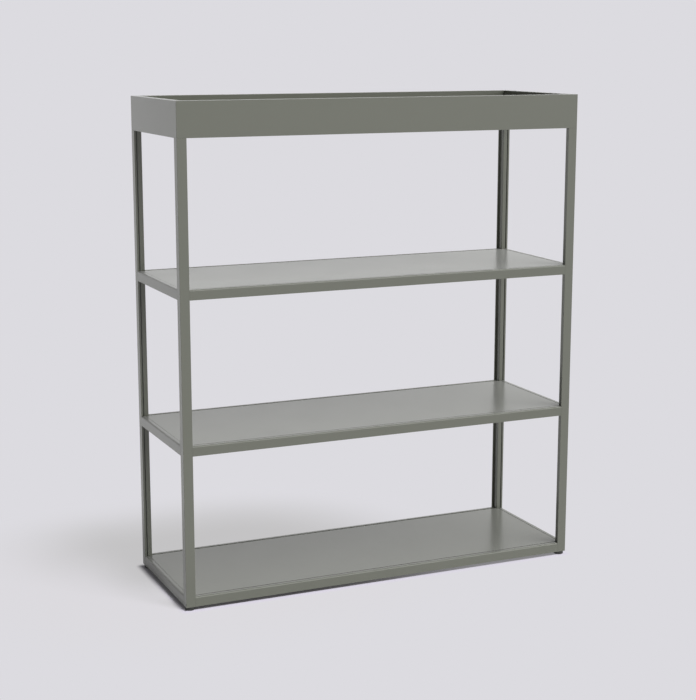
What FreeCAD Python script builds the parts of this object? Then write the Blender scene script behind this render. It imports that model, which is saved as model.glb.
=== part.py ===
import FreeCAD, Part
import math
import os

# The unit: four uprights, three rail frames with drop-in shelves, and an open tray on top.
# X runs to the right, Y to the rear and Z up. The origin is on the floor, under the middle.
unit_width = 1000.0
unit_depth = 340.0
level_pitch = 352.5
level_names = ("lower", "middle", "upper")

# Uprights: one hollow extruded section, with a lip along its face and a groove for a side panel.
upright_face_width = 22.5
upright_core_width = 18.0
upright_depth = 19.5
upright_wall = 1.5
upright_edge_radius = 0.6
upright_core_radius = 1.5
lip_thickness = 3.0
groove_inset = 4.4
groove_width = 2.8
groove_depth = 5.0
groove_wall = 1.2

# Rails: a hollow box that carries the shelf, with a rim along its outer side.
rail_height = 23.3
rail_depth = 18.0
rail_wall = 1.5
rail_rim_width = 10.6
rail_seat_height = 16.0
rail_edge_radius = 0.6
rail_top_radius = 3.4
rail_rim_radius = 0.4

# Shelves: folded sheet, standing on the rails' seats.
shelf_sheet = 1.2
shelf_recess = 0.3
shelf_seam = 3.4
shelf_end_gap = 0.4
shelf_notch_gap = 0.5
shelf_bend_radius = 1.0

# Stiffeners: folded hat sections under the shelves and the tray floor.
stiffener_sheet = 1.0
stiffener_crown = 22.0
stiffener_flange = 9.0
stiffener_height = 9.5
stiffener_place_share = 0.4
stiffener_end_gap = 1.0

# Rail locks: a block in each rail end, whose tongue hooks behind a slot in the upright.
lock_length = 28.0
lock_fit = 0.15
tongue_thickness = 3.0
tongue_height = 6.0
tongue_rise = 5.0
tongue_clearance = 0.2
hook_thickness = 1.1
hook_drop = 2.0
hook_clearance = 0.1
lock_screw_radius = 2.5
lock_screw_inset = 18.0
lock_screw_rise = 1.0
lock_thread_clearance = 0.05
lock_socket_flats = 2.5
lock_socket_depth = 2.5
access_hole_radius = 2.0

# Tray: four mitred hollow fascias round a folded floor, held by corner keys.
fascia_height = 79.5
fascia_depth = 18.0
fascia_wall = 1.5
fascia_web_height = 23.3
fascia_edge_radius = 0.6
tray_floor_height = 23.0
ledge_width = 8.0
ledge_thickness = 2.0
tray_floor_gap = 0.5
key_leg_length = 48.0
key_fit = 0.15
spigot_length = 40.0
spigot_fit = 0.15
spigot_hole_gap = 0.3
key_screw_inset = 12.0
key_screw_radius = 2.0
key_screw_head_radius = 3.5
key_screw_length = 9.0
key_thread_clearance = 0.05
key_drive_radius = 1.2
key_drive_depth = 1.0

# Feet: a pad moulded round the head of a threaded stud, which winds into an insert in the upright.
foot_height = 8.0
foot_stop_gap = 0.3
foot_radius = 12.0
foot_edge_radius = 2.0
foot_rim_radius = 0.5
stud_radius = 3.0
stud_thread_clearance = 0.05
stud_head_flats = 10.0
stud_head_height = 4.0
stud_head_fit = 0.05
stud_side_gap = 1.8
stud_top_gap = 1.0
insert_height = 25.0
insert_fit = 0.1

# How far a cut runs past the face that it opens.
overrun = 2.0

x_axis = FreeCAD.Vector(1, 0, 0)
y_axis = FreeCAD.Vector(0, 1, 0)
z_axis = FreeCAD.Vector(0, 0, 1)

# Planes that several pieces share, all for the front left corner and the lower rail frame.
left_face = -unit_width / 2
front_face = -unit_depth / 2
core_right = left_face + upright_core_width
core_rear = front_face + upright_depth
lip_end = left_face + upright_face_width
groove_left = left_face + groove_inset
groove_right = groove_left + groove_width
groove_floor = core_rear - groove_depth
tray_base = foot_height + len(level_names) * level_pitch
cavity_left = left_face + upright_wall
cavity_front = front_face + upright_wall
cavity_right = core_right - upright_wall
cavity_rear = core_rear - upright_wall
channel_left = groove_right + groove_wall
foot_x = (channel_left + cavity_right) / 2
foot_y = cavity_rear - hook_clearance - hook_thickness - stud_side_gap - stud_radius


def level_base(number):
    """The height of a rail frame's underside, counted from the lowest frame."""
    return foot_height + number * level_pitch


def prism(outline, along, length):
    """A straight bar with the given outline, which is a list of points across it."""
    face = Part.Face(Part.makePolygon(outline + [outline[0]]))
    return face.extrude(along * length)


def across_x(points, x):
    """An outline square to X, from pairs of Y and Z."""
    return [FreeCAD.Vector(x, y, z) for y, z in points]


def across_y(points, y):
    """An outline square to Y, from pairs of X and Z."""
    return [FreeCAD.Vector(x, y, z) for x, z in points]


def across_z(points, z):
    """An outline square to Z, from pairs of X and Y."""
    return [FreeCAD.Vector(x, y, z) for x, y in points]


def block(x_span, y_span, z_span):
    """A box between the two ends of each span."""
    low = FreeCAD.Vector(x_span[0], y_span[0], z_span[0])
    return Part.makeBox(x_span[1] - x_span[0], y_span[1] - y_span[0], z_span[1] - z_span[0], low)


def rounded(shape, radius, points, along):
    """The bar with its long edges through the given points rounded."""
    chosen = []
    for edge in shape.Edges:
        ends = [vertex.Point for vertex in edge.Vertexes]
        for point in points:
            if max((end - point).cross(along).Length for end in ends) < radius / 2:
                chosen.append(edge)
    return shape.makeFillet(radius, chosen)


def mirrored(shape, to_right, to_rear):
    """A front left shape, or its mirror image in another corner."""
    if to_right:
        shape = shape.mirror(FreeCAD.Vector(), x_axis)
    if to_rear:
        shape = shape.mirror(FreeCAD.Vector(), y_axis)
    return shape


def in_each_corner(shape):
    """The shape and its mirror images in all four corners."""
    return [mirrored(shape, to_right, to_rear) for to_rear in (False, True) for to_right in (False, True)]


def ring(centre_x, centre_y, radius, z_span):
    """An upright round bar."""
    return Part.makeCylinder(radius, z_span[1] - z_span[0], FreeCAD.Vector(centre_x, centre_y, z_span[0]))


def hexagon(centre_x, centre_y, flats, z_span):
    """An upright six-sided bar of the given width across its flats."""
    reach = flats / 2 / math.cos(math.pi / 6)
    turns = [side * math.pi / 3 for side in range(6)]
    points = [(centre_x + reach * math.cos(turn), centre_y + reach * math.sin(turn)) for turn in turns]
    return prism(across_z(points, z_span[0]), z_axis, z_span[1] - z_span[0])


def tongue_span():
    """The heights of a tongue above its rail's underside."""
    low = tongue_rise + hook_clearance
    return low, low + tongue_height


def upright():
    """The front left upright, with the slots that its rails hook into."""
    outline = [
        (left_face, front_face),
        (lip_end, front_face),
        (lip_end, front_face + lip_thickness),
        (core_right, front_face + lip_thickness),
        (core_right, core_rear),
        (groove_right, core_rear),
        (groove_right, groove_floor),
        (groove_left, groove_floor),
        (groove_left, core_rear),
        (left_face, core_rear),
    ]
    cavity = [
        (cavity_left, cavity_front),
        (cavity_right, cavity_front),
        (cavity_right, cavity_rear),
        (channel_left, cavity_rear),
        (channel_left, groove_floor - groove_wall),
        (groove_left - groove_wall, groove_floor - groove_wall),
        (groove_left - groove_wall, cavity_rear),
        (cavity_left, cavity_rear),
    ]
    height = tray_base - foot_height
    bar = prism(across_z(outline, foot_height), z_axis, height)
    soft = [outline[0], outline[1], outline[2], outline[9]]
    bar = rounded(bar, upright_edge_radius, across_z(soft, foot_height), z_axis)
    bar = rounded(bar, upright_core_radius, across_z([outline[4]], foot_height), z_axis)
    bar = bar.cut(prism(across_z(cavity, foot_height - overrun), z_axis, height + 2 * overrun))
    for number in range(len(level_names)):
        bar = bar.cut(Part.makeCompound(lock_slots(level_base(number))))
    return bar


def lock_slots(base):
    """The two slots that a rail frame's tongues go through, in one upright."""
    slot_height = tongue_height + hook_drop + 2 * tongue_clearance
    heights = (base + tongue_rise, base + tongue_rise + slot_height)
    y_low, y_high = long_tongue_width()
    x_low, x_high = side_tongue_width()
    y_span = (y_low - tongue_clearance, y_high + tongue_clearance)
    x_span = (x_low - tongue_clearance, x_high + tongue_clearance)
    long_slot = block((cavity_right - hook_thickness, core_right + overrun), y_span, heights)
    side_slot = block(x_span, (cavity_rear - hook_thickness, core_rear + overrun), heights)
    return [long_slot, side_slot]


def rail_outline(outer):
    """The rail's section: its outline and its cavity, as distances from the outer side and the underside."""
    outline = [
        (outer, 0),
        (outer + rail_depth, 0),
        (outer + rail_depth, rail_seat_height),
        (outer + rail_rim_width, rail_seat_height),
        (outer + rail_rim_width, rail_height),
        (outer, rail_height),
    ]
    cavity = [
        (outer + rail_wall, rail_wall),
        (outer + rail_depth - rail_wall, rail_wall),
        (outer + rail_depth - rail_wall, rail_seat_height - rail_wall),
        (outer + rail_rim_width - rail_wall, rail_seat_height - rail_wall),
        (outer + rail_rim_width - rail_wall, rail_height - rail_wall),
        (outer + rail_wall, rail_height - rail_wall),
    ]
    return outline, cavity


def hollow_rail(across, start, along, outer):
    """A rail between two uprights, before its ends are cut."""
    outline, cavity = rail_outline(outer)
    bar = prism(across(outline, start), along, -2 * start)
    bar = rounded(bar, rail_edge_radius, across([outline[0]], start), along)
    bar = rounded(bar, rail_top_radius, across([outline[5]], start), along)
    bar = rounded(bar, rail_rim_radius, across([outline[4]], start), along)
    hollow = prism(across(cavity, start - overrun), along, 2 * (overrun - start))
    hollow = rounded(hollow, rail_top_radius - rail_wall, across([cavity[5]], start), along)
    return bar.cut(hollow)


def long_rail():
    """The front rail, notched round the uprights' lips, with its access holes."""
    bar = hollow_rail(across_x, core_right, x_axis, front_face)
    lip_notch = block(
        (core_right - overrun, lip_end),
        (front_face - overrun, front_face + lip_thickness),
        (-overrun, rail_height + overrun),
    )
    hole = ring(*long_screw_place(), access_hole_radius, (-overrun, rail_wall + overrun))
    for to_right in (False, True):
        bar = bar.cut(mirrored(lip_notch, to_right, False)).cut(mirrored(hole, to_right, False))
    return bar


def side_rail():
    """The left rail, with its access holes."""
    bar = hollow_rail(across_y, core_rear, y_axis, left_face)
    hole = ring(*side_screw_place(), access_hole_radius, (-overrun, rail_wall + overrun))
    for to_rear in (False, True):
        bar = bar.cut(mirrored(hole, False, to_rear))
    return bar


def long_lock_width():
    """The front and rear sides of the lock block in a front rail."""
    return front_face + lip_thickness + lock_fit, front_face + rail_depth - rail_wall - lock_fit


def side_lock_width():
    """The left and right sides of the lock block in a left rail."""
    return left_face + rail_wall + lock_fit, left_face + rail_depth - rail_wall - lock_fit


def long_tongue_width():
    """The front and rear sides of the tongue in a front rail, which passes in front of the foot's stud."""
    front = long_lock_width()[0]
    return front, front + tongue_thickness


def side_tongue_width():
    """The left and right sides of the tongue in a left rail, beside the upright's groove."""
    return foot_x - tongue_thickness / 2, foot_x + tongue_thickness / 2


def long_screw_place():
    """The middle of the set screw in the front rail's left lock."""
    return core_right + lock_screw_inset, sum(long_lock_width()) / 2


def side_screw_place():
    """The middle of the set screw in the left rail's front lock."""
    return sum(side_lock_width()) / 2, core_rear + lock_screw_inset


def lock_heights():
    """The underside and the top of a lock block above its rail's underside."""
    return rail_wall + lock_fit, rail_seat_height - rail_wall - lock_fit


def long_lock():
    """The lock in the front rail's left end."""
    body = block((core_right, core_right + lock_length), long_lock_width(), lock_heights())
    width = long_tongue_width()
    low, high = tongue_span()
    hook_face = cavity_right - hook_clearance
    tongue = block((hook_face - hook_thickness, core_right + overrun), width, (low, high))
    hook = block((hook_face - hook_thickness, hook_face), width, (low - hook_drop, high))
    hole = ring(*long_screw_place(), lock_screw_radius, (0, rail_seat_height))
    return body.fuse([tongue, hook]).removeSplitter().cut(hole)


def side_lock():
    """The lock in the left rail's front end."""
    body = block(side_lock_width(), (core_rear, core_rear + lock_length), lock_heights())
    width = side_tongue_width()
    low, high = tongue_span()
    hook_face = cavity_rear - hook_clearance
    tongue = block(width, (hook_face - hook_thickness, core_rear + overrun), (low, high))
    hook = block(width, (hook_face - hook_thickness, hook_face), (low - hook_drop, high))
    hole = ring(*side_screw_place(), lock_screw_radius, (0, rail_seat_height))
    return body.fuse([tongue, hook]).removeSplitter().cut(hole)


def lock_screw(centre_x, centre_y):
    """A set screw with a hexagon socket, wound up against the rail's seat."""
    low = lock_heights()[0] + lock_screw_rise
    high = rail_seat_height - rail_wall
    shank = ring(centre_x, centre_y, lock_screw_radius - lock_thread_clearance, (low, high))
    socket = hexagon(centre_x, centre_y, lock_socket_flats, (low - overrun, low + lock_socket_depth))
    return shank.cut(socket)


def folded_plate(x_inset, y_inset, low, high):
    """A sheet with its four edges folded down, given its insets from the unit's faces and its heights."""
    x_edge = left_face + x_inset
    y_edge = front_face + y_inset
    outer = block((x_edge, -x_edge), (y_edge, -y_edge), (low, high))
    top_edges = [edge for edge in outer.Edges if edge.BoundBox.ZMin > (low + high) / 2]
    outer = outer.makeFillet(shelf_bend_radius, top_edges)
    inner_x = x_edge + shelf_sheet
    inner_y = y_edge + shelf_sheet
    return outer.cut(block((inner_x, -inner_x), (inner_y, -inner_y), (low - overrun, high - shelf_sheet)))


def shelf():
    """A shelf, notched round the uprights."""
    top = rail_height - shelf_recess
    plate = folded_plate(rail_rim_width + shelf_end_gap, rail_rim_width + shelf_seam, rail_seat_height, top)
    notch = block(
        (left_face, core_right + shelf_notch_gap),
        (front_face, core_rear + shelf_notch_gap),
        (rail_seat_height - overrun, top + overrun),
    )
    return plate.cut(Part.makeCompound(in_each_corner(notch)))


def tray_floor():
    """The tray's floor, standing on the fascias' ledges."""
    inset = fascia_depth + tray_floor_gap
    return folded_plate(inset, inset, tray_base + ledge_thickness, tray_base + tray_floor_height)


def stiffener(sheet_underside, end_inset):
    """The front stiffener under a sheet: a hat section that hangs from its two flanges."""
    half_crown = stiffener_crown / 2
    half_width = half_crown + stiffener_flange
    middle = stiffener_place_share * core_rear
    top = sheet_underside
    low = top - stiffener_height
    outline = [
        (middle - half_width, top),
        (middle - half_width, top - stiffener_sheet),
        (middle - half_crown, top - stiffener_sheet),
        (middle - half_crown, low),
        (middle + half_crown, low),
        (middle + half_crown, top - stiffener_sheet),
        (middle + half_width, top - stiffener_sheet),
        (middle + half_width, top),
        (middle + half_crown - stiffener_sheet, top),
        (middle + half_crown - stiffener_sheet, low + stiffener_sheet),
        (middle - half_crown + stiffener_sheet, low + stiffener_sheet),
        (middle - half_crown + stiffener_sheet, top),
    ]
    start = left_face + end_inset
    return prism(across_x(outline, start), x_axis, -2 * start)


def fascia_sections(outer):
    """The fascia's outline and its two chambers, from its outer side."""
    inner = outer + fascia_depth
    outline = [
        (outer, tray_base),
        (inner + ledge_width, tray_base),
        (inner + ledge_width, tray_base + ledge_thickness),
        (inner, tray_base + ledge_thickness),
        (inner, tray_base + fascia_height),
        (outer, tray_base + fascia_height),
    ]
    sides = (outer + fascia_wall, inner - fascia_wall)
    lower = (tray_base + fascia_wall, tray_base + fascia_web_height - fascia_wall)
    upper = (tray_base + fascia_web_height, tray_base + fascia_height - fascia_wall)
    chambers = []
    for low, high in (lower, upper):
        chambers.append([(sides[0], low), (sides[1], low), (sides[1], high), (sides[0], high)])
    return outline, chambers


def fascia(across, start, along, outer, mitre):
    """A fascia with mitred ends, and openings for the corner keys' spigots."""
    outline, chambers = fascia_sections(outer)
    bar = prism(across(outline, start), along, -2 * start)
    bar = rounded(bar, fascia_edge_radius, across([outline[0], outline[4], outline[5]], start), along)
    for chamber in chambers:
        bar = bar.cut(prism(across(chamber, start - overrun), along, 2 * (overrun - start)))
    bar = bar.common(prism(across_z(mitre, tray_base - overrun), z_axis, fascia_height + 2 * overrun))
    bar = bar.common(tray_corner_bar())
    spigot_x, spigot_y = spigot_spans(-spigot_hole_gap)
    opening = block(spigot_x, spigot_y, (tray_base - overrun, tray_base + fascia_wall + overrun))
    return bar.cut(Part.makeCompound(in_each_corner(opening)))


def tray_corner_bar():
    """The tray's whole outer size as a bar with rounded upright corners."""
    bar = block((left_face, -left_face), (front_face, -front_face), (tray_base, tray_base + fascia_height))
    upright_edges = [edge for edge in bar.Edges if edge.BoundBox.ZLength > fascia_height / 2]
    return bar.makeFillet(fascia_edge_radius, upright_edges)


def front_fascia():
    """The front fascia, with the countersunk holes for its key screws."""
    reach = fascia_depth + ledge_width
    mitre = [
        (left_face, front_face),
        (-left_face, front_face),
        (-left_face - reach, front_face + reach),
        (left_face + reach, front_face + reach),
    ]
    bar = fascia(across_x, left_face, x_axis, front_face, mitre)
    for to_right in (False, True):
        bar = bar.cut(mirrored(long_key_screw(-key_thread_clearance, False), to_right, False))
    return bar


def left_fascia():
    """The left fascia, with the countersunk holes for its key screws."""
    reach = fascia_depth + ledge_width
    mitre = [
        (left_face, front_face),
        (left_face + reach, front_face + reach),
        (left_face + reach, -front_face - reach),
        (left_face, -front_face),
    ]
    bar = fascia(across_y, front_face, y_axis, left_face, mitre)
    for to_rear in (False, True):
        bar = bar.cut(mirrored(side_key_screw(-key_thread_clearance, False), False, to_rear))
    return bar


def spigot_spans(fit):
    """The sides of a corner key's spigot, or with a fit below zero those of its opening."""
    x_span = (channel_left + fit, cavity_right - fit)
    y_span = (cavity_front + fit, cavity_rear - fit)
    return x_span, y_span


def key_heights():
    """The underside and the top of a corner key."""
    return tray_base + fascia_wall + key_fit, tray_base + fascia_web_height - fascia_wall - key_fit


def corner_key():
    """The front left corner key: two legs in the fascias and a spigot in the upright."""
    near = fascia_wall + key_fit
    far = fascia_depth - fascia_wall - key_fit
    low, high = key_heights()
    x_near, x_far, x_end = left_face + near, left_face + far, left_face + key_leg_length
    y_near, y_far, y_end = front_face + near, front_face + far, front_face + key_leg_length
    x_leg = block((x_near, x_end), (y_near, y_far), (low, high))
    y_leg = block((x_near, x_far), (y_near, y_end), (low, high))
    spigot_x, spigot_y = spigot_spans(spigot_fit)
    spigot = block(spigot_x, spigot_y, (tray_base - spigot_length, low + overrun))
    key = x_leg.fuse([y_leg, spigot]).removeSplitter()
    holes = [place(-key_thread_clearance, False) for place in (long_key_screw, side_key_screw)]
    return key.cut(Part.makeCompound(holes))


def countersunk(place, inward, slack, driven):
    """A countersunk screw set flush in a fascia's inner face, or the hole for it."""
    shank_radius = key_screw_radius - key_thread_clearance - slack
    shank_start = place + inward * fascia_wall
    head = Part.makeCone(key_screw_head_radius, shank_radius, fascia_wall, place, inward)
    shank = Part.makeCylinder(shank_radius, key_screw_length - fascia_wall, shank_start, inward)
    screw = head.fuse(shank).removeSplitter()
    if driven:
        outside = place - inward * overrun
        recess = Part.makeCylinder(key_drive_radius, key_drive_depth + overrun, outside, inward)
        screw = screw.cut(recess)
    return screw


def long_key_screw(slack, driven):
    """The screw from the front fascia's inner face into the front left key."""
    place = FreeCAD.Vector(
        left_face + key_leg_length - key_screw_inset, front_face + fascia_depth, sum(key_heights()) / 2
    )
    return countersunk(place, -y_axis, slack, driven)


def side_key_screw(slack, driven):
    """The screw from the left fascia's inner face into the front left key."""
    place = FreeCAD.Vector(
        left_face + fascia_depth, front_face + key_leg_length - key_screw_inset, sum(key_heights()) / 2
    )
    return countersunk(place, -x_axis, slack, driven)


def foot_pad():
    """The front left pad, with a pocket for the stud's head."""
    top = foot_height - foot_stop_gap
    pad = ring(foot_x, foot_y, foot_radius, (0, top))
    pad = pad.makeFillet(foot_edge_radius, [edge for edge in pad.Edges if edge.BoundBox.ZMax < top / 2])
    upper_edge = [edge for edge in pad.Edges if edge.BoundBox.ZMin > (top + foot_edge_radius) / 2]
    pad = pad.makeFillet(foot_rim_radius, upper_edge)
    flats = stud_head_flats + 2 * stud_head_fit
    return pad.cut(hexagon(foot_x, foot_y, flats, (top - stud_head_height, top + overrun)))


def insert_span():
    """The underside and the top of the threaded insert, above the rails' locks."""
    low = foot_height + rail_seat_height
    return low, low + insert_height


def foot_stud():
    """The front left stud, whose hexagon head stands in the pad."""
    top = foot_height - foot_stop_gap
    head = hexagon(foot_x, foot_y, stud_head_flats, (top - stud_head_height, top))
    shank_top = insert_span()[1] - stud_top_gap
    shank = ring(foot_x, foot_y, stud_radius - stud_thread_clearance, (top - stud_head_height, shank_top))
    return head.fuse(shank).removeSplitter()


def foot_insert():
    """The front left threaded insert, which fills the upright's cavity beside the groove."""
    low, high = insert_span()
    step = groove_floor - groove_wall - insert_fit
    narrow = channel_left + insert_fit
    outline = [
        (cavity_left + insert_fit, cavity_front + insert_fit),
        (cavity_right - insert_fit, cavity_front + insert_fit),
        (cavity_right - insert_fit, cavity_rear - insert_fit),
        (narrow, cavity_rear - insert_fit),
        (narrow, step),
        (cavity_left + insert_fit, step),
    ]
    body = prism(across_z(outline, low), z_axis, insert_height)
    return body.cut(ring(foot_x, foot_y, stud_radius, (low - overrun, high + overrun)))


def corner_nodes(prefix, shape):
    """One node per corner, named after where it stands."""
    nodes = {}
    for end, to_rear in (("front", False), ("rear", True)):
        for side, to_right in (("left", False), ("right", True)):
            nodes[f"{prefix}_{end}_{side}"] = mirrored(shape, to_right, to_rear)
    return nodes


def pair_nodes(front_name, rear_name, shape, to_rear):
    """A piece and its mirror image, to the rear or to the right."""
    return {front_name: shape, rear_name: mirrored(shape, not to_rear, to_rear)}


def rail_frame():
    """One rail frame with its shelf and locks, at the height of zero, by the names of its pieces."""
    sheet_underside = rail_height - shelf_recess - shelf_sheet
    locks = in_each_corner(long_lock()) + in_each_corner(side_lock())
    screws = in_each_corner(lock_screw(*long_screw_place()))
    screws += in_each_corner(lock_screw(*side_screw_place()))
    pieces = {"shelf": shelf()}
    pieces["rail_locks"] = Part.makeCompound(locks)
    pieces["lock_screws"] = Part.makeCompound(screws)
    pieces.update(pair_nodes("front_rail", "rear_rail", long_rail(), True))
    pieces.update(pair_nodes("left_rail", "right_rail", side_rail(), False))
    hat = stiffener(sheet_underside, rail_depth + stiffener_end_gap)
    pieces.update(pair_nodes("shelf_stiffener_front", "shelf_stiffener_rear", hat, True))
    return pieces


def levels():
    """The three rail frames."""
    nodes = {}
    frame = rail_frame()
    for number, level in enumerate(level_names):
        for name, shape in frame.items():
            nodes[f"{level}_{name}"] = shape.translated(z_axis * level_base(number))
    return nodes


def tray():
    """The tray: fascias, floor, stiffeners, corner keys and their screws."""
    screws = in_each_corner(long_key_screw(0, True)) + in_each_corner(side_key_screw(0, True))
    nodes = {"tray_floor": tray_floor(), "tray_key_screws": Part.makeCompound(screws)}
    nodes.update(pair_nodes("tray_front_fascia", "tray_rear_fascia", front_fascia(), True))
    nodes.update(pair_nodes("tray_left_fascia", "tray_right_fascia", left_fascia(), False))
    underside = tray_base + tray_floor_height - shelf_sheet
    inset = fascia_depth + tray_floor_gap + shelf_sheet + stiffener_end_gap
    hat = stiffener(underside, inset)
    nodes.update(pair_nodes("tray_stiffener_front", "tray_stiffener_rear", hat, True))
    nodes.update(corner_nodes("tray_corner_key", corner_key()))
    return nodes


def feet():
    """The four levelling feet and their inserts."""
    nodes = corner_nodes("foot_pad", foot_pad())
    nodes.update(corner_nodes("foot_stud", foot_stud()))
    nodes.update(corner_nodes("foot_insert", foot_insert()))
    return nodes


def build():
    """Every piece of the unit, by name."""
    nodes = corner_nodes("upright", upright())
    nodes.update(levels())
    nodes.update(tray())
    nodes.update(feet())
    return nodes


os.makedirs("parts", exist_ok=True)
for name, shape in build().items():
    shape.exportStep(f"parts/{name}.step")
    print(name, len(shape.Solids), round(shape.Volume), shape.isValid())
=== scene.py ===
"""Finishes, fine parts and studio of an open metal shelving unit with a tray on top.

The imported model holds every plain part: hollow uprights, rails, folded shelves and the tray.
This script dresses them, and puts closer pieces in the places of the feet and the stiffeners.
Lengths in fields are in millimetres, but the studio's are in metres, as the meshes are.
"""

import logging
import math
from dataclasses import dataclass
from enum import Enum

import bmesh
import bpy
import numpy as np
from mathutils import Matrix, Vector


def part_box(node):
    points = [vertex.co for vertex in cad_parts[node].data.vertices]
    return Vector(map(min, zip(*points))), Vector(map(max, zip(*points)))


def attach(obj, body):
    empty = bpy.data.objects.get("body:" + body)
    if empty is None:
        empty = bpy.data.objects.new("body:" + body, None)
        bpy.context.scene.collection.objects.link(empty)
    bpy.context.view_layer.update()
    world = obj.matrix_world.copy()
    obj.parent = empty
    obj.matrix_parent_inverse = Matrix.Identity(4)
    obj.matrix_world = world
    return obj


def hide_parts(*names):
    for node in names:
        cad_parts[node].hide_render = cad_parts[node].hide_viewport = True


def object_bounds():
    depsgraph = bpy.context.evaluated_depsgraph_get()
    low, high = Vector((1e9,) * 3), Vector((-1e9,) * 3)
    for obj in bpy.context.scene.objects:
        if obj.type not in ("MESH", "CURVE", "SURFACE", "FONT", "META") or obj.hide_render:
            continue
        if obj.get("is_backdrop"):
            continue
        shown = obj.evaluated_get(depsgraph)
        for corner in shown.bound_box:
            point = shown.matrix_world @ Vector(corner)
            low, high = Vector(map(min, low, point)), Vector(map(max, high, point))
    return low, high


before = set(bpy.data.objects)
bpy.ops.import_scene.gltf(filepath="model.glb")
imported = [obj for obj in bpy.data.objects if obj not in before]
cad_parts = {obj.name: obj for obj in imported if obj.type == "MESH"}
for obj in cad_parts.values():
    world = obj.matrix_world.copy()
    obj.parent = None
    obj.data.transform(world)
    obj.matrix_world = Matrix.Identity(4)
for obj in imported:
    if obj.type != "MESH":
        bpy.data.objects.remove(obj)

LOG = logging.getLogger("shelving")
MM = 0.001
FULL_TURN = 2 * math.pi
QUARTER_TURN = math.pi / 2
ROOT_BODY = "frame"

# Points of a mesh that lie closer than this are one, in millimetres.
MERGE = 0.002
# An edge between two faces stays sharp from this angle on, in degrees.
SHARP = 35.0
# Nearly all of a noise texture's values lie between these two.
NOISE_LOW, NOISE_HIGH = 0.3, 0.7
# The colour sockets of a Mix node that is set to RGBA, by number, because its names repeat.
MIX_FACTOR, MIX_A, MIX_B, MIX_RESULT = 0, 6, 7, 2


class Slot(Enum):
    """The record's material slots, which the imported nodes' own materials are named after."""

    FRAME = "coated_frame"
    SHEET = "coated_sheet"
    CASTING = "zinc_casting"
    PLATED = "zinc_plated_steel"
    PLASTIC = "black_plastic"


class Corner(Enum):
    """The unit's four corners, by the ends of their nodes' names."""

    FRONT_LEFT = "front_left"
    FRONT_RIGHT = "front_right"
    REAR_LEFT = "rear_left"
    REAR_RIGHT = "rear_right"


class Level(Enum):
    """The three shelf levels, by the starts of their nodes' names."""

    LOWER = "lower"
    MIDDLE = "middle"
    UPPER = "upper"


class FloorLight(Enum):
    """What a lamp does to the floor, by the names of the link states."""

    LIGHTS_IT_ALONE = "INCLUDE"
    LEAVES_IT_OUT = "EXCLUDE"


def linear(code: str) -> tuple[float, float, float, float]:
    """Turn an sRGB hex colour into linear light, by the sRGB standard's own curve.

    Args:
        code: The colour as a hash sign and six hex digits.

    Returns:
        Red, green, blue and a full alpha.
    """
    shares = np.array([int(code[place : place + 2], 16) for place in (1, 3, 5)]) / 255
    low, high = shares / 12.92, ((shares + 0.055) / 1.055) ** 2.4
    return (*np.where(shares <= 0.04045, low, high).tolist(), 1.0)


def add_node(
    tree: bpy.types.NodeTree, kind: str, inputs: dict | None = None, **settings: object
) -> bpy.types.Node:
    """Add one node, set its properties, and fill or link its inputs.

    Args:
        tree: The node tree that takes the node.
        kind: The node's type name.
        inputs: Each input's name or number, with its value or the socket that feeds it.
        **settings: The node's own properties.

    Returns:
        The new node.
    """
    node = tree.nodes.new(kind)
    for name, value in settings.items():
        setattr(node, name, value)
    for key, value in (inputs or {}).items():
        if isinstance(value, bpy.types.NodeSocket):
            tree.links.new(value, node.inputs[key])
        else:
            node.inputs[key].default_value = value
    return node


def start_material(name: str) -> tuple[bpy.types.Material, bpy.types.NodeSocket]:
    """Make an empty material.

    Args:
        name: The real material's name.

    Returns:
        The material, and the socket of its Object coordinates.
    """
    material = bpy.data.materials.new(name)
    material.use_nodes = True
    material.node_tree.nodes.clear()
    place = add_node(material.node_tree, "ShaderNodeTexCoord")
    return material, place.outputs["Object"]


def close_material(material: bpy.types.Material, shader: bpy.types.Node) -> bpy.types.Material:
    """Lead a material's shader to its output and return the material."""
    add_node(material.node_tree, "ShaderNodeOutputMaterial", {"Surface": shader.outputs[0]})
    return material


@dataclass(frozen=True)
class Patches:
    """Soft patches in a surface, which carry both its colour and its roughness.

    One noise texture mixes the two colours, and moves the roughness from its first value to its
    second. Detail is how many finer layers the noise has, and breakup is how much each counts.
    """

    size: float
    detail: float
    breakup: float
    colours: tuple[str, str]
    roughness: tuple[float, float]

    def lay(
        self, tree: bpy.types.NodeTree, place: bpy.types.NodeSocket
    ) -> tuple[bpy.types.NodeSocket, bpy.types.NodeSocket]:
        """Lay the patches over a surface.

        Args:
            tree: The node tree that takes the nodes.
            place: The socket of the surface's coordinates.

        Returns:
            The sockets of the colour and of the roughness.
        """
        noise = add_node(
            tree,
            "ShaderNodeTexNoise",
            {
                "Vector": place,
                "Scale": 1 / (self.size * MM),
                "Detail": self.detail,
                "Roughness": self.breakup,
            },
        )
        first, second = (linear(colour) for colour in self.colours)
        colour = add_node(
            tree,
            "ShaderNodeMix",
            {MIX_FACTOR: noise.outputs["Fac"], MIX_A: first, MIX_B: second},
            data_type="RGBA",
        )
        roughness = add_node(
            tree,
            "ShaderNodeMapRange",
            {
                "Value": noise.outputs["Fac"],
                "From Min": NOISE_LOW,
                "From Max": NOISE_HIGH,
                "To Min": self.roughness[0],
                "To Max": self.roughness[1],
            },
        )
        return colour.outputs[MIX_RESULT], roughness.outputs["Result"]


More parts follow.
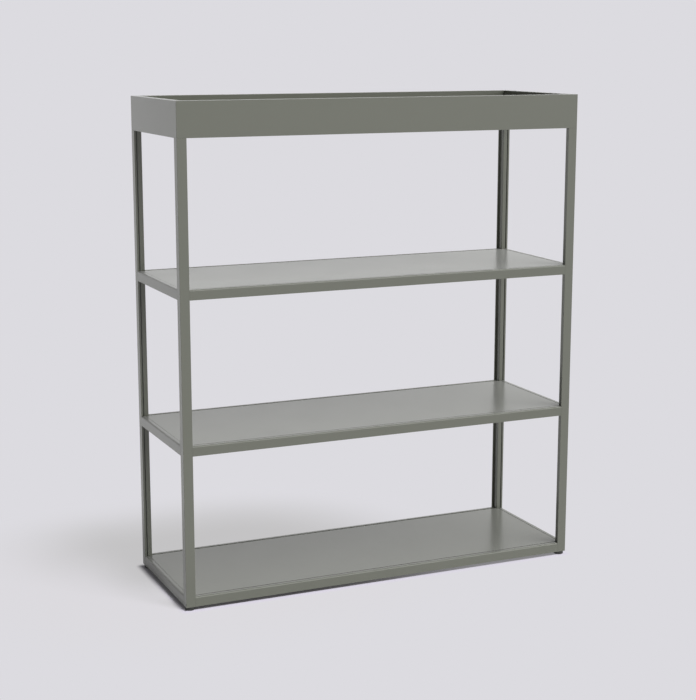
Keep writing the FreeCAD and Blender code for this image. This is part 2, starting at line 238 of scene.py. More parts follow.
@dataclass(frozen=True)
class Relief:
    """A fine noise that stands out of a surface as bump, by its size, detail and depth."""

    size: float
    detail: float
    depth: float

    def raise_on(
        self,
        tree: bpy.types.NodeTree,
        place: bpy.types.NodeSocket,
        under: bpy.types.NodeSocket | None = None,
    ) -> bpy.types.NodeSocket:
        """Raise the relief on a surface, or on another relief.

        Args:
            tree: The node tree that takes the nodes.
            place: The socket of the surface's coordinates.
            under: The socket of the other relief's normal, if there is one.

        Returns:
            The socket of the bumped normal.
        """
        noise = add_node(
            tree,
            "ShaderNodeTexNoise",
            {"Vector": place, "Scale": 1 / (self.size * MM), "Detail": self.detail},
        )
        inputs = {"Height": noise.outputs["Fac"], "Distance": self.depth * MM, "Strength": 1.0}
        if under is not None:
            inputs["Normal"] = under
        return add_node(tree, "ShaderNodeBump", inputs).outputs["Normal"]


@dataclass(frozen=True)
class PowderCoat:
    """Polyester powder coat, sprayed and stoved, semi-matt.

    The eye sees one even colour, a haze and a soft sheen that grow at a flat angle, and close up
    the shallow waves that the melted powder leaves, with a finer grain in them. In a seam a few
    millimetres wide along the unit's length the colour is darkened towards near black, a painted
    shade that stands in for the shade in the seam.
    """

    name: str
    waves: Relief = Relief(size=2.4, detail=1.0, depth=0.014)
    grain: Relief = Relief(size=0.5, detail=2.0, depth=0.003)
    patches: Patches = Patches(
        size=90.0,
        detail=3.0,
        breakup=0.6,
        colours=("#6D6F65", "#696B61"),
        roughness=(0.22, 0.26),
    )
    ior: float = 1.5
    gloss: float = 0.44
    haze: float = 0.65
    haze_roughness: float = 0.35
    # The painted seam shade's colour, and its share of the colour on the walls of a shut seam.
    painted_seam_shade: str = "#0E0E0D"
    painted_shade_share: float = 0.12
    # How far off a seam's other wall is looked for, with how many rays, and the shares of rays
    # that get away where a place counts as open and where it counts as shut.
    seam_width: float = 5.0
    seam_rays: int = 8
    seam_open: float = 0.95
    seam_shut: float = 0.6

    def material(self) -> bpy.types.Material:
        """Build the coat: close shades in broad patches, painted shade in seams, and waves and
        grain as bump.

        Returns:
            The coat's material.
        """
        material, place = start_material(self.name)
        tree = material.node_tree
        colour, roughness = self.patches.lay(tree, place)
        # Painted shade: near black is mixed into the colour in narrow seams, where ambient
        # occlusion finds walls close by.
        seam_shaded = add_node(
            tree,
            "ShaderNodeMix",
            {MIX_FACTOR: self.unshaded_share(tree), MIX_A: linear(self.painted_seam_shade), MIX_B: colour},
            data_type="RGBA",
        )
        shader = add_node(
            tree,
            "ShaderNodeBsdfPrincipled",
            {
                "Base Color": seam_shaded.outputs[MIX_RESULT],
                "Roughness": roughness,
                "Normal": self.grain.raise_on(tree, place, self.waves.raise_on(tree, place)),
                "IOR": self.ior,
                "Specular IOR Level": self.gloss,
                "Sheen Weight": self.haze,
                "Sheen Roughness": self.haze_roughness,
            },
        )
        return close_material(material, shader)

    def unshaded_share(self, tree: bpy.types.NodeTree) -> bpy.types.NodeSocket:
        """Tell how much of its own colour a place keeps against the painted seam shade: 1 in the
        open, less on a seam's walls.

        A wall counts by how far it faces the front or the rear.

        Args:
            tree: The node tree that takes the nodes.

        Returns:
            The socket of the share kept, from 0 to 1.
        """
        crowded = add_node(
            tree,
            "ShaderNodeAmbientOcclusion",
            {"Distance": self.seam_width * MM},
            samples=self.seam_rays,
        )
        # How far the painted shade darkens a place, from how shut in it is.
        shade_by_occlusion = add_node(
            tree,
            "ShaderNodeMapRange",
            {
                "Value": crowded.outputs["AO"],
                "From Min": self.seam_shut,
                "From Max": self.seam_open,
                "To Min": self.painted_shade_share,
                "To Max": 0.0,
            },
            interpolation_type="SMOOTHSTEP",
        )
        side = add_node(tree, "ShaderNodeNewGeometry")
        facing = add_node(tree, "ShaderNodeSeparateXYZ", {0: side.outputs["Normal"]})
        along = add_node(tree, "ShaderNodeMath", {0: facing.outputs["Y"]}, operation="ABSOLUTE")
        seam_shaded = add_node(
            tree,
            "ShaderNodeMath",
            {0: shade_by_occlusion.outputs["Result"], 1: along.outputs[0]},
            operation="MULTIPLY",
        )
        left = add_node(
            tree, "ShaderNodeMath", {0: 1.0, 1: seam_shaded.outputs[0]}, operation="SUBTRACT"
        )
        return left.outputs[0]


@dataclass(frozen=True)
class MetalSurface:
    """Bare or plated metal whose surface is a fine grain.

    The eye sees a cool grey that mirrors its surroundings in a blur, with faint patches where the
    plating bath or the mould left it duller.
    """

    name: str
    patches: Patches
    grain: Relief

    def material(self) -> bpy.types.Material:
        """Build the metal: patches carry its colour and its roughness, and grain its bump.

        Returns:
            The metal's material.
        """
        material, place = start_material(self.name)
        tree = material.node_tree
        colour, roughness = self.patches.lay(tree, place)
        shader = add_node(
            tree,
            "ShaderNodeBsdfPrincipled",
            {
                "Base Color": colour,
                "Roughness": roughness,
                "Normal": self.grain.raise_on(tree, place),
                "Metallic": 1.0,
            },
        )
        return close_material(material, shader)


@dataclass(frozen=True)
class MouldedPlastic:
    """Black polyamide, moulded in a spark-eroded tool.

    The eye sees a matt near-black whose fine pits catch a grey haze, a little lighter in patches
    where hands and floors have rubbed it.
    """

    name: str
    patches: Patches = Patches(
        size=6.0,
        detail=4.0,
        breakup=0.65,
        colours=("#161616", "#232322"),
        roughness=(0.58, 0.46),
    )
    ior: float = 1.53
    pit: float = 0.35
    pit_depth: float = 0.02

    def material(self) -> bpy.types.Material:
        """Build the plastic: rubbed patches over black, with cell-shaped pits as bump.

        Returns:
            The plastic's material.
        """
        material, place = start_material(self.name)
        tree = material.node_tree
        colour, roughness = self.patches.lay(tree, place)
        pits = add_node(
            tree, "ShaderNodeTexVoronoi", {"Vector": place, "Scale": 1 / (self.pit * MM)}
        )
        skin = add_node(
            tree,
            "ShaderNodeBump",
            {"Height": pits.outputs["Distance"], "Distance": self.pit_depth * MM, "Strength": 1.0},
        )
        shader = add_node(
            tree,
            "ShaderNodeBsdfPrincipled",
            {
                "Base Color": colour,
                "Roughness": roughness,
                "Normal": skin.outputs["Normal"],
                "IOR": self.ior,
            },
        )
        return close_material(material, shader)


class Wardrobe:
    """The finish of each material slot, made once and shared by all that take it."""

    def __init__(self) -> None:
        """Build one material per slot."""
        finishes = {
            Slot.FRAME: PowderCoat("powder_coat_on_extrusion"),
            Slot.SHEET: PowderCoat(
                "powder_coat_on_sheet_steel",
                waves=Relief(size=3.0, detail=1.0, depth=0.017),
                # The sheet's seams take the painted shade in full.
                painted_shade_share=1.0,
            ),
            Slot.CASTING: MetalSurface(
                "zinc_die_casting",
                Patches(
                    size=7.0,
                    detail=4.0,
                    breakup=0.6,
                    colours=("#B4B7BA", "#9A9DA1"),
                    roughness=(0.42, 0.58),
                ),
                Relief(size=0.6, detail=2.0, depth=0.012),
            ),
            Slot.PLATED: MetalSurface(
                "zinc_plated_steel",
                Patches(
                    size=5.0,
                    detail=4.0,
                    breakup=0.6,
                    colours=("#C6CBD1", "#B3B8BB"),
                    roughness=(0.24, 0.38),
                ),
                Relief(size=0.25, detail=2.0, depth=0.003),
            ),
            Slot.PLASTIC: MouldedPlastic("moulded_black_polyamide"),
        }
        self.materials = {slot: finish.material() for slot, finish in finishes.items()}

    def dress(self, names: list[str]) -> None:
        """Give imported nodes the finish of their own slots.

        Args:
            names: The nodes' names.
        """
        for name in names:
            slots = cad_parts[name].data.materials
            for number, packed in enumerate(slots):
                slots[number] = self.materials[Slot(packed.name.split(".")[0])]
            LOG.info("%s: packed node, dressed", name)


@dataclass
class Surface:
    """A mesh in the making: points and faces as whole arrays."""

    points: np.ndarray
    faces: list[list[int]]

    @classmethod
    def from_grid(cls, grid: np.ndarray, capped: bool = False) -> "Surface":
        """Join neighbours in a grid of points into quads.

        Args:
            grid: Rows by columns by three. Its last column repeats the first where it closes.
            capped: True if the first and last rows are loops that one face each closes.

        Returns:
            The surface, with each point's number its place in the grid row by row.
        """
        rows, columns = grid.shape[:2]
        numbers = np.arange(rows * columns).reshape(rows, columns)
        quads = np.stack(
            [numbers[:-1, :-1], numbers[:-1, 1:], numbers[1:, 1:], numbers[1:, :-1]], axis=-1
        )
        faces = quads.reshape(-1, 4).tolist()
        if capped:
            faces += [numbers[0, :-1][::-1].tolist(), numbers[-1, :-1].tolist()]
        return cls(grid.reshape(-1, 3), faces)

    def repeated(self, places: np.ndarray) -> "Surface":
        """Copy the surface to several places.

        Args:
            places: How far each copy is moved, one row of three per copy.

        Returns:
            All the copies as one surface.
        """
        points = (self.points[None] + places[:, None]).reshape(-1, 3)
        step = len(self.points)
        faces = [
            [point + copy * step for point in face]
            for copy in range(len(places))
            for face in self.faces
        ]
        return Surface(points, faces)

    def piece(self, name: str, body: str, slot: Slot, wardrobe: Wardrobe) -> bpy.types.Object:
        """Make the surface an object at the origin that rides on a body.

        Args:
            name: The piece's name.
            body: The body that it rides on.
            slot: The slot that it takes its finish from.
            wardrobe: The finishes.

        Returns:
            The finished piece, closed, with its faces turned outwards.
        """
        mesh = bpy.data.meshes.new(name)
        mesh.from_pydata((self.points * MM).tolist(), [], self.faces)
        work = bmesh.new()
        work.from_mesh(mesh)
        bmesh.ops.remove_doubles(work, verts=work.verts, dist=MERGE * MM)
        bmesh.ops.recalc_face_normals(work, faces=work.faces)
        work.to_mesh(mesh)
        work.free()
        mesh.shade_smooth()
        mesh.set_sharp_from_angle(angle=math.radians(SHARP))
        mesh.materials.append(wardrobe.materials[slot])
        made = bpy.data.objects.new(name, mesh)
        bpy.context.scene.collection.objects.link(made)
        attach(made, body)
        LOG.info("%s: %d faces, rides on %s", name, len(mesh.polygons), body)
        return made


def node_box(name: str) -> tuple[np.ndarray, np.ndarray]:
    """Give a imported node's lowest and highest corners in millimetres."""
    low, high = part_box(name)
    return np.array(low) / MM, np.array(high) / MM


def turned(radii: np.ndarray, heights: np.ndarray, centre: np.ndarray) -> np.ndarray:
    """Place a grid round an upright axis.

    Each point lies at the centre plus its radius times the cosine and sine of its column's angle,
    at its own height. Columns share one full turn evenly, and the last repeats the first.

    Args:
        radii: The distances from the axis, rows by columns.
        heights: The heights, rows by columns.
        centre: The axis's X and Y.

    Returns:
        The grid, rows by columns by three.
    """
    angles = np.linspace(0, FULL_TURN, radii.shape[1])
    return np.stack(
        [centre[0] + radii * np.cos(angles), centre[1] + radii * np.sin(angles), heights], axis=-1
    )


def hexagon(flats: float, columns: int) -> np.ndarray:
    """Give a hexagon's radius at each column.

    The radius is half the width across flats over the cosine of the angle from the nearest
    flat's middle. Corners fall on whole sixths of the turn.

    Args:
        flats: The width across flats.
        columns: The number of columns, one more than a multiple of six.

    Returns:
        The radii, one per column.
    """
    angles = np.linspace(0, FULL_TURN, columns)
    return flats / 2 / np.cos(np.mod(angles, FULL_TURN / 6) - FULL_TURN / 12)


@dataclass
class LevellingFoot:
    """A levelling foot: a pad with a fluted grip, moulded round the head of a threaded stud."""

    corner: Corner
    grip_flutes: int = 30
    flute_depth: float = 0.35
    flute_steps: int = 8
    grip_steps: int = 6
    recess_radius: float = 7.6
    recess_height: float = 0.8
    sole_radius: float = 10.0
    edge_steps: int = 6
    rim_radius: float = 0.5
    pocket_flats: float = 10.1
    pocket_chamfer: float = 0.25
    head_flats: float = 10.0
    head_top_radius: float = 5.15
    head_chamfer: float = 0.5
    head_height: float = 4.0
    shank_radius: float = 2.95
    shank_steps: int = 24
    tip_chamfer: float = 0.6
    thread_pitch: float = 1.0
    thread_depth: float = 0.55
    thread_start: float = 0.6
    # The corners of the thread's section: their places in the pitch, and their rise from root to
    # crest.
    thread_places: tuple[float, ...] = (0.0, 0.25, 0.5625, 0.6875)
    thread_heights: tuple[float, ...] = (0.0, 0.0, 1.0, 1.0)

    def build(self, wardrobe: Wardrobe) -> None:
        """Build the pad and the stud in the places of their nodes.

        Args:
            wardrobe: The finishes.
        """
        body = f"foot_{self.corner.value}"
        for part, slot, shape in (
            ("pad", Slot.PLASTIC, self.pad),
            ("stud", Slot.PLATED, self.stud),
        ):
            node = f"foot_{part}_{self.corner.value}"
            made = shape(*node_box(node)).piece(f"{node}_detailed", body, slot, wardrobe)
            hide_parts(node)

    def pad(self, low: np.ndarray, high: np.ndarray) -> Surface:
        """Turn the pad's section round its axis.

        The section runs from the middle of a shallow recess underneath, over the sole, a quarter
        round, the side and a small upper round, to a hexagon pocket. On the side the radius drops
        by the flute depth times the square of a sine, which makes the grip. The flutes fade out
        at the side's ends by the root of a half sine.

        Args:
            low: The lowest corner of the pad's node.
            high: Its highest corner.

        Returns:
            The pad as one closed surface.
        """
        centre = (low + high)[:2] / 2
        radius, base, top = (high - low)[0] / 2, low[2], high[2]
        edge = radius - self.sole_radius
        columns = self.grip_flutes * self.flute_steps + 1
        angles = np.linspace(0, FULL_TURN, columns)
        bend = np.linspace(0, QUARTER_TURN, self.edge_steps)
        out, over = np.sin(bend), 1 - np.cos(bend)
        sole = [
            (0.0, base + self.recess_height),
            (self.recess_radius, base + self.recess_height),
            (self.recess_radius + self.recess_height / 2, base),
        ]
        lower = np.stack([self.sole_radius + edge * out, base + edge * over], -1)
        upper = np.stack([radius - self.rim_radius * over, top - self.rim_radius * (1 - out)], -1)
        side = np.linspace(lower[-1], upper[0], self.grip_steps + 2)[1:-1]
        section = np.concatenate([sole, lower, side, upper])
        radii = np.repeat(section[:, :1], columns, axis=1)
        heights = np.repeat(section[:, 1:], columns, axis=1)
        first = len(sole) + len(lower)
        fade = np.sqrt(np.sin(np.linspace(0, math.pi, self.grip_steps + 2)))[1:-1, None]
        grip = self.flute_depth * np.sin(angles * self.grip_flutes / 2) ** 2
        radii[first : first + self.grip_steps] -= fade * grip
        pocket = hexagon(self.pocket_flats, columns)
        floor = top - self.head_height
        inner = [
            (pocket + self.pocket_chamfer, top),
            (pocket, top - self.pocket_chamfer),
            (pocket, floor),
            (0 * pocket, floor),
        ]
        radii = np.concatenate([radii] + [ring[None] for ring, _ in inner])
        heights = np.concatenate([heights] + [np.full((1, columns), place) for _, place in inner])
        return Surface.from_grid(turned(radii, heights, centre))

    def stud(self, low: np.ndarray, high: np.ndarray) -> Surface:
        """Turn the hexagon head and cut a real screw thread on the shank.

        Along the thread, row and column share one helix: a point's height is its row's place in
        the pitch plus its share of the turn, times the pitch. The radius is the root's, and rises
        over the flanks to the crest by the section's own heights, faded out at both ends.

        Args:
            low: The lowest corner of the stud's node.
            high: Its highest corner.

        Returns:
            The stud as one closed surface.
        """
        centre = (low + high)[:2] / 2
        base, top = low[2], high[2]
        shoulder = base + self.head_height
        columns = self.shank_steps + 1
        flats = hexagon(self.head_flats, columns)
        turned_down = np.minimum(flats, self.head_top_radius)
        even = np.ones(columns)
        start, end = shoulder + self.thread_start, top - self.tip_chamfer
        turns = math.ceil((end - start) / self.thread_pitch) + 1
        places = (np.arange(turns)[:, None] - 1 + np.array(self.thread_places)).reshape(-1, 1)
        share = np.linspace(0, 1, columns)
        helix = np.clip(start + self.thread_pitch * (places + share), start, end)
        rise = np.tile(self.thread_heights, turns)[:, None]
        fade = np.clip(np.minimum(helix - start, end - helix) / self.thread_pitch, 0, 1)
        root = self.shank_radius - self.thread_depth
        thread = root + self.thread_depth * rise * fade
        rings = [
            (0 * even, base * even),
            (flats, base * even),
            (flats, (shoulder - self.head_chamfer) * even),
            (turned_down, shoulder * even),
            (self.shank_radius * even, shoulder * even),
            (self.shank_radius * even, (start - self.thread_depth / 2) * even),
            (root * even, start * even),
            *zip(thread, helix),
            (root * even, end * even),
            ((root - self.tip_chamfer) * even, top * even),
            (0 * even, top * even),
        ]
        radii = np.array([ring for ring, _ in rings])
        heights = np.array([height for _, height in rings])
        return Surface.from_grid(turned(radii, heights, centre))


@dataclass
class Stiffener:
    """A hat section folded from sheet, spot welded under a shelf by its two flanges."""

    node: str
    sheet: float = 1.0
    crown: float = 22.0
    bend_radius: float = 1.0
    bend_steps: int = 6
    weld_pitch: float = 118.0
    weld_radius: float = 2.8
    weld_rise: float = 0.14
    weld_sink: float = 0.2
    weld_steps: int = 18
    # A weld mark's rings: their shares of its radius, and of its rise for those that show.
    weld_shares: tuple[float, ...] = (0.0, 0.35, 0.6, 0.8, 1.0, 1.0, 0.0)
    weld_drops: tuple[float, ...] = (0.35, 0.45, 1.0, 0.8, 0.0)

    def build(self, wardrobe: Wardrobe) -> None:
        """Fold the section in its node's place and set the weld marks on its flanges.

        Args:
            wardrobe: The finishes.
        """
        low, high = node_box(self.node)
        section = self.section(low, high)
        made = self.bar(section, low[0], high[0]).piece(
            f"{self.node}_folded", ROOT_BODY, Slot.SHEET, wardrobe
        )
        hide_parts(self.node)
        self.welds(low, high).piece(f"{self.node}_weld_marks", ROOT_BODY, Slot.SHEET, wardrobe)

    def section(self, low: np.ndarray, high: np.ndarray) -> np.ndarray:
        """Work out the section's closed outline.

        The strip's middle line runs along headings: straight runs, and between them bends whose
        heading turns a quarter in even steps, each step a chord of the bend's arc. The outline is
        that line moved by half the sheet to one side, and back along the other side.

        Args:
            low: The lowest corner of the node's box.
            high: Its highest corner.

        Returns:
            Pairs of Y and Z round the section, the last repeating the first.
        """
        arc = self.bend_radius + self.sheet / 2
        outer_half = self.crown / 2 - self.sheet / 2
        flange = (high - low)[1] / 2 - outer_half - arc
        web = (high - low)[2] - self.sheet - 2 * arc
        floor = 2 * (outer_half - arc)
        step = QUARTER_TURN / self.bend_steps
        bend = np.full(self.bend_steps, 2 * arc * math.sin(step / 2))
        quarter = (np.arange(self.bend_steps) + 0.5) * step
        down, up = -quarter, quarter - QUARTER_TURN
        fall, climb = [-QUARTER_TURN], [QUARTER_TURN]
        lengths = np.concatenate(
            [[flange], bend, [web], bend, [floor], bend, [web], bend, [flange]]
        )
        headings = np.concatenate(
            [[0.0], down, fall, up, [0.0], -up[::-1], climb, -down[::-1], [0.0]]
        )
        steps = lengths[:, None] * np.stack([np.cos(headings), np.sin(headings)], axis=-1)
        start = np.array([low[1], high[2] - self.sheet / 2])
        line = start + np.concatenate([[[0.0, 0.0]], np.cumsum(steps, axis=0)])
        turns = np.concatenate([headings[:1], (headings[:-1] + headings[1:]) / 2, headings[-1:]])
        bends = np.abs(np.diff(headings)) / 2
        reach = self.sheet / 2 / np.concatenate([[1.0], np.cos(bends), [1.0]])
        normal = np.stack([-np.sin(turns), np.cos(turns)], axis=-1) * reach[:, None]
        loop = np.concatenate([line + normal, (line - normal)[::-1]])
        return np.concatenate([loop, loop[:1]])

    def bar(self, section: np.ndarray, start: float, end: float) -> Surface:
        """Draw the section straight along X.

        Args:
            section: Pairs of Y and Z round the section.
            start: The bar's left end.
            end: Its right end.

        Returns:
            The bar, closed at both ends.
        """
        ends = np.array([start, end])[:, None]
        across = np.broadcast_to(section[None], (2, *section.shape))
        grid = np.concatenate([np.broadcast_to(ends[..., None], (2, len(section), 1)), across], -1)
        return Surface.from_grid(grid, capped=True)

    def welds(self, low: np.ndarray, high: np.ndarray) -> Surface:
        """Set a weld mark at even steps along each flange's underside.

        A mark is a low ring turned round an upright axis: a shallow dent, a crest, and an edge
        that runs into the flange. Its last two rings lie inside the sheet and close it.

        Args:
            low: The lowest corner of the node's box.
            high: Its highest corner.

        Returns:
            All the marks as one surface.
        """
        underside = high[2] - self.sheet
        rise = np.array(self.weld_drops) * self.weld_rise
        drops = np.concatenate([rise, np.full(2, -self.weld_sink)])
        columns = self.weld_steps + 1
        rings = np.array(self.weld_shares) * self.weld_radius
        radii = np.repeat(rings[:, None], columns, axis=1)
        heights = np.repeat((underside - drops)[:, None], columns, axis=1)
        mark = Surface.from_grid(turned(radii, heights, np.zeros(2)))
        count = int((high - low)[0] / self.weld_pitch) + 1
        along = (np.arange(count) - (count - 1) / 2) * self.weld_pitch + (low + high)[0] / 2
        flange = ((high - low)[1] - self.crown) / 2
        sides = np.array([low[1] + flange / 2, high[1] - flange / 2])
        spread = np.stack(np.meshgrid(along, sides), axis=-1).reshape(-1, 2)
        return mark.repeated(np.column_stack([spread, np.zeros(len(spread))]))


@dataclass
class RailFrame:
    """One level: its four rails, the shelf that stands in them, and what holds them."""

    level: Level
    parts: tuple[str, ...] = (
        "front_rail",
        "rear_rail",
        "left_rail",
        "right_rail",
        "shelf",
        "rail_locks",
        "lock_screws",
    )

    def build(self, wardrobe: Wardrobe) -> None:
        """Dress the level's nodes and fold its two stiffeners.

        Args:
            wardrobe: The finishes.
        """
        wardrobe.dress([f"{self.level.value}_{part}" for part in self.parts])
        for end in ("front", "rear"):
            Stiffener(f"{self.level.value}_shelf_stiffener_{end}").build(wardrobe)


@dataclass
class Tray:
    """The open tray on top: four mitred fascias, a folded floor and its corner keys."""

    sides: tuple[str, ...] = ("front", "rear", "left", "right")

    def build(self, wardrobe: Wardrobe) -> None:
        """Dress the tray's nodes and fold its two stiffeners.

        Args:
            wardrobe: The finishes.
        """
        wardrobe.dress([f"tray_{side}_fascia" for side in self.sides])
        wardrobe.dress(["tray_floor", "tray_key_screws"])
        wardrobe.dress([f"tray_corner_key_{corner.value}" for corner in Corner])
        for end in ("front", "rear"):
            Stiffener(f"tray_stiffener_{end}").build(wardrobe)


@dataclass
class Uprights:
    """The four hollow uprights and the threaded inserts in their lower ends."""

    parts: tuple[str, ...] = ("upright", "foot_insert")

    def build(self, wardrobe: Wardrobe) -> None:
        """Dress the uprights and their inserts."""
        for part in self.parts:
            wardrobe.dress([f"{part}_{corner.value}" for corner in Corner])


@dataclass(frozen=True)
class Lamp:
    """A wide soft lamp in front of the unit on the right, above it.

    Its width is how wide it looks from the unit, its height is over the horizon, and its side is
    how far it stands to the right of straight in front, all in degrees.
    """

    name: str
    floor: FloorLight
    strength: float
    width: float
    height: float
    side: float


@dataclass
class Studio:
    """A pale seamless floor, even light from all round, two soft lamps and the camera.

    One lamp lights the unit and the other the floor alone, so that the shadow has its own
    direction. The floor mixes the true shadow with an even colour.
    """

    half_size: Vector
    # The backdrop's colour to the camera, and to gloss and glass.
    backdrop: str = "#DCDBE0"
    mirrored: str = "#FFFFFF"
    # The floor's colour to light and gloss, to the camera, and the even one in its shadow.
    paper: str = "#E1E0E5"
    sunlit: str = "#E1DCEB"
    shaded: str = "#DDDCDD"
    floor_reach: float = 30.0
    # The even colour's share right under the unit. It grows over the contact reach, until only
    # the shadow's share of the true shadow is left.
    contact_share: float = 0.04
    contact_reach: float = 0.02
    shadow_share: float = 0.26
    # The shadow fades out between two distances from a rectangle left of and behind the middle.
    shadow_left: float = 0.37
    shadow_rear: float = 0.12
    fade_start: float = 0.16
    fade_end: float = 0.58
    # The light from all round, and its colour.
    ambient: float = 0.09
    daylight: str = "#FFFFFF"
    lamps: tuple[Lamp, ...] = (
        Lamp(
            "wide_lamp",
            FloorLight.LEAVES_IT_OUT,
            strength=3.08,
            width=70.0,
            height=38.0,
            side=40.0,
        ),
        Lamp(
            "floor_lamp",
            FloorLight.LIGHTS_IT_ALONE,
            strength=2.93,
            width=20.0,
            height=62.0,
            side=22.0,
        ),
    )
    # The camera's angles are in degrees, and its lens and sensor in millimetres.
    camera_place: tuple[float, float, float] = (-1.5305, -3.3852, 1.2732)
    camera_tilt: float = 78.742
    camera_turn: float = -23.998
    lens: float = 80.26
    sensor: float = 36.0
    sight: float = 100.0

    def build(self) -> None:
        """Lay the floor, set the light and place the camera."""
        bpy.context.scene.view_settings.view_transform = "Standard"
        floor = self.floor()
        self.air()
        for lamp in self.lamps:
            self.hang(lamp, floor)
        self.camera()

    def place(self, name: str, data: bpy.types.ID) -> bpy.types.Object:
        """Put new data in the scene.

        Args:
            name: The new object's name.
            data: Its mesh, lamp or camera.

        Returns:
            The object.
        """
        made = bpy.data.objects.new(name, data)
        bpy.context.scene.collection.objects.link(made)
        return made

    def floor(self) -> bpy.types.Object:
        """Lay the flat floor that the unit stands on.

        Returns:
            The floor.
        """
        reach = self.floor_reach
        corners = [(-reach, -reach, 0), (reach, -reach, 0), (reach, reach, 0), (-reach, reach, 0)]
        mesh = bpy.data.meshes.new("studio_floor")
        mesh.from_pydata(corners, [], [(0, 1, 2, 3)])
        mesh.materials.append(self.seamless_paper())
        made = self.place("studio_floor", mesh)
        made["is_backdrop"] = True
        return made

    def seamless_paper(self) -> bpy.types.Material:
        """Make paper that takes shadows near the unit and is as even as the backdrop far off.

        From underneath it is clear, so that the unit's underside can be looked at.

        Returns:
            The paper's material.
        """
        material, place = start_material("seamless_paper")
        tree = material.node_tree
        lit = self.shown(tree, linear(self.paper), linear(self.sunlit))
        paper = add_node(tree, "ShaderNodeBsdfDiffuse", {"Color": lit})
        half = np.array(self.half_size)
        shift = np.array([-self.shadow_left, self.shadow_rear, 0.0])
        near = add_node(
            tree,
            "ShaderNodeMapRange",
            {
                "Value": self.beside(tree, place, np.zeros(3), half),
                "From Min": 0.0,
                "From Max": self.contact_reach,
                "To Min": self.contact_share,
                "To Max": 1 - self.shadow_share,
            },
            interpolation_type="SMOOTHSTEP",
        )
        far = add_node(
            tree,
            "ShaderNodeMapRange",
            {
                "Value": self.beside(tree, place, shift, half - np.abs(shift)),
                "From Min": self.fade_start,
                "From Max": self.fade_end,
                "To Min": 0.0,
                "To Max": self.shadow_share,
            },
            interpolation_type="SMOOTHSTEP",
        )
        share = add_node(
            tree,
            "ShaderNodeMath",
            {0: near.outputs["Result"], 1: far.outputs["Result"]},
            operation="ADD",
        )
        clearing = add_node(
            tree,
            "ShaderNodeMath",
            {0: far.outputs["Result"], 1: self.shadow_share},
            operation="DIVIDE",
        )
        colour = add_node(
            tree,
            "ShaderNodeMix",
            {
                MIX_FACTOR: clearing.outputs[0],
                MIX_A: linear(self.shaded),
                MIX_B: self.tone(tree),
            },
            data_type="RGBA",
        )
        even = add_node(
            tree, "ShaderNodeEmission", {"Color": colour.outputs[MIX_RESULT], "Strength": 1.0}
        )
        evened = add_node(
            tree, "ShaderNodeMath", {0: share.outputs[0], 1: self.seen(tree)}, operation="MULTIPLY"
        )
        blended = add_node(
            tree,
            "ShaderNodeMixShader",
            {0: evened.outputs[0], 1: paper.outputs[0], 2: even.outputs[0]},
        )
        side = add_node(tree, "ShaderNodeNewGeometry")
        clear = add_node(tree, "ShaderNodeBsdfTransparent")
        shader = add_node(
            tree,
            "ShaderNodeMixShader",
            {0: side.outputs["Backfacing"], 1: blended.outputs[0], 2: clear.outputs[0]},
        )
        return close_material(material, shader)

    def beside(
        self,
        tree: bpy.types.NodeTree,
        place: bpy.types.NodeSocket,
        middle: np.ndarray,
        half: np.ndarray,
    ) -> bpy.types.NodeSocket:
        """Measure how far a point of the floor lies outside a rectangle.

        The distance is the length of how far the point is from the middle along X and Y, less the
        rectangle's half sizes, with what is below zero taken as zero.

        Args:
            tree: The node tree that takes the nodes.
            place: The socket of the floor's coordinates.
            middle: The rectangle's middle.
            half: Its half sizes.

        Returns:
            The distance's socket, in metres.
        """
        kind, nothing = "ShaderNodeVectorMath", (0.0, 0.0, 0.0)
        centred = add_node(tree, kind, {0: place, 1: tuple(middle)}, operation="SUBTRACT")
        apart = add_node(tree, kind, {0: centred.outputs[0]}, operation="ABSOLUTE")
        less = add_node(tree, kind, {0: apart.outputs[0], 1: tuple(half)}, operation="SUBTRACT")
        outside = add_node(tree, kind, {0: less.outputs[0], 1: nothing}, operation="MAXIMUM")
        length = add_node(tree, kind, {0: outside.outputs[0]}, operation="LENGTH")
        return length.outputs["Value"]

    def seen(self, tree: bpy.types.NodeTree) -> bpy.types.NodeSocket:
        """Tell the rays of the camera, of gloss and of glass from those that carry plain light.

        Args:
            tree: The node tree that takes the nodes.

        Returns:
            A socket that is 1 for the rays that see the backdrop, and 0 for the others.
        """
        ray = add_node(tree, "ShaderNodeLightPath")
        shiny = add_node(
            tree,
            "ShaderNodeMath",
            {0: ray.outputs["Is Camera Ray"], 1: ray.outputs["Is Glossy Ray"]},
            operation="MAXIMUM",
        )
        every = add_node(
            tree,
            "ShaderNodeMath",
            {0: shiny.outputs[0], 1: ray.outputs["Is Transmission Ray"]},
            operation="MAXIMUM",
        )
        return every.outputs[0]

    def tone(self, tree: bpy.types.NodeTree) -> bpy.types.NodeSocket:
        """Give the backdrop's colour, which gloss and glass see paler than the camera does."""
        return self.shown(tree, linear(self.mirrored), linear(self.backdrop))

    def shown(
        self, tree: bpy.types.NodeTree, unseen: tuple[float, ...], seen: tuple[float, ...]
    ) -> bpy.types.NodeSocket:
        """Give one colour to the camera and another to every other ray.

        Args:
            tree: The node tree that takes the nodes.
            unseen: The colour that light and gloss meet.
            seen: The colour that the camera sees.

        Returns:
            The colour's socket.
        """
        ray = add_node(tree, "ShaderNodeLightPath")
        either = add_node(
            tree,
            "ShaderNodeMix",
            {MIX_FACTOR: ray.outputs["Is Camera Ray"], MIX_A: unseen, MIX_B: seen},
            data_type="RGBA",
        )
        return either.outputs[MIX_RESULT]

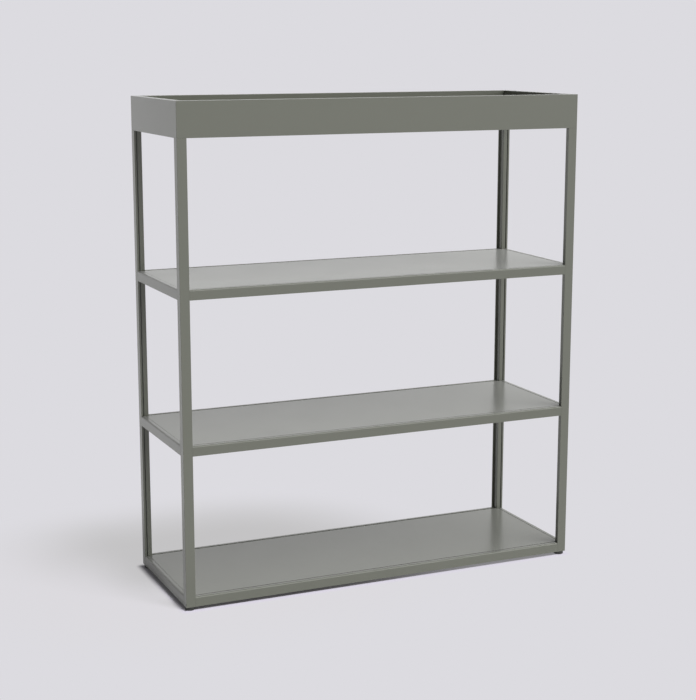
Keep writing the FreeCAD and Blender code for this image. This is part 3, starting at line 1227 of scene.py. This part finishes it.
    def air(self) -> None:
        """Light from all round: the backdrop's colour to the camera, and a paler one to gloss."""
        world = bpy.data.worlds.new("studio_air")
        world.use_nodes = True
        tree = world.node_tree
        tree.nodes.clear()
        light = add_node(
            tree,
            "ShaderNodeBackground",
            {"Color": linear(self.daylight), "Strength": self.ambient},
        )
        backdrop = add_node(
            tree, "ShaderNodeBackground", {"Color": self.tone(tree), "Strength": 1.0}
        )
        either = add_node(
            tree,
            "ShaderNodeMixShader",
            {0: self.seen(tree), 1: light.outputs[0], 2: backdrop.outputs[0]},
        )
        add_node(tree, "ShaderNodeOutputWorld", {"Surface": either.outputs[0]})
        bpy.context.scene.world = world

    def hang(self, lamp: Lamp, floor: bpy.types.Object) -> None:
        """Hang a lamp that lights the floor alone, or everything but the floor.

        Args:
            lamp: The lamp.
            floor: The floor.
        """
        data = bpy.data.lights.new(lamp.name, "SUN")
        data.energy = lamp.strength
        data.angle = math.radians(lamp.width)
        made = self.place(lamp.name, data)
        made.rotation_euler = (math.radians(90 - lamp.height), 0.0, math.radians(lamp.side))
        group = bpy.data.collections.new(f"{lamp.name}_receivers")
        group.objects.link(floor)
        made.light_linking.receiver_collection = group
        group.collection_objects[0].light_linking.link_state = lamp.floor.value

    def camera(self) -> None:
        """Place the camera at the photograph's viewing angle, its sensor along the long side."""
        data = bpy.data.cameras.new("camera")
        data.sensor_width = self.sensor
        data.lens = self.lens
        data.clip_end = self.sight
        made = self.place("camera", data)
        made.location = self.camera_place
        turns = (self.camera_tilt, 0.0, self.camera_turn)
        made.rotation_euler = tuple(math.radians(turn) for turn in turns)
        bpy.context.scene.camera = made


def write_sizes() -> None:
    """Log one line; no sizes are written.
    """
    LOG.info("sizes written")


def main() -> None:
    """Build the unit's sub-assemblies in order, then the studio."""
    logging.basicConfig(level=logging.INFO, format="%(name)s: %(message)s")
    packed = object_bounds()
    wardrobe = Wardrobe()
    Uprights().build(wardrobe)
    for level in Level:
        RailFrame(level).build(wardrobe)
    Tray().build(wardrobe)
    for corner in Corner:
        LevellingFoot(corner).build(wardrobe)
    Studio((packed[1] - packed[0]) / 2).build()
    write_sizes()


if __name__ == "__main__":
    main()
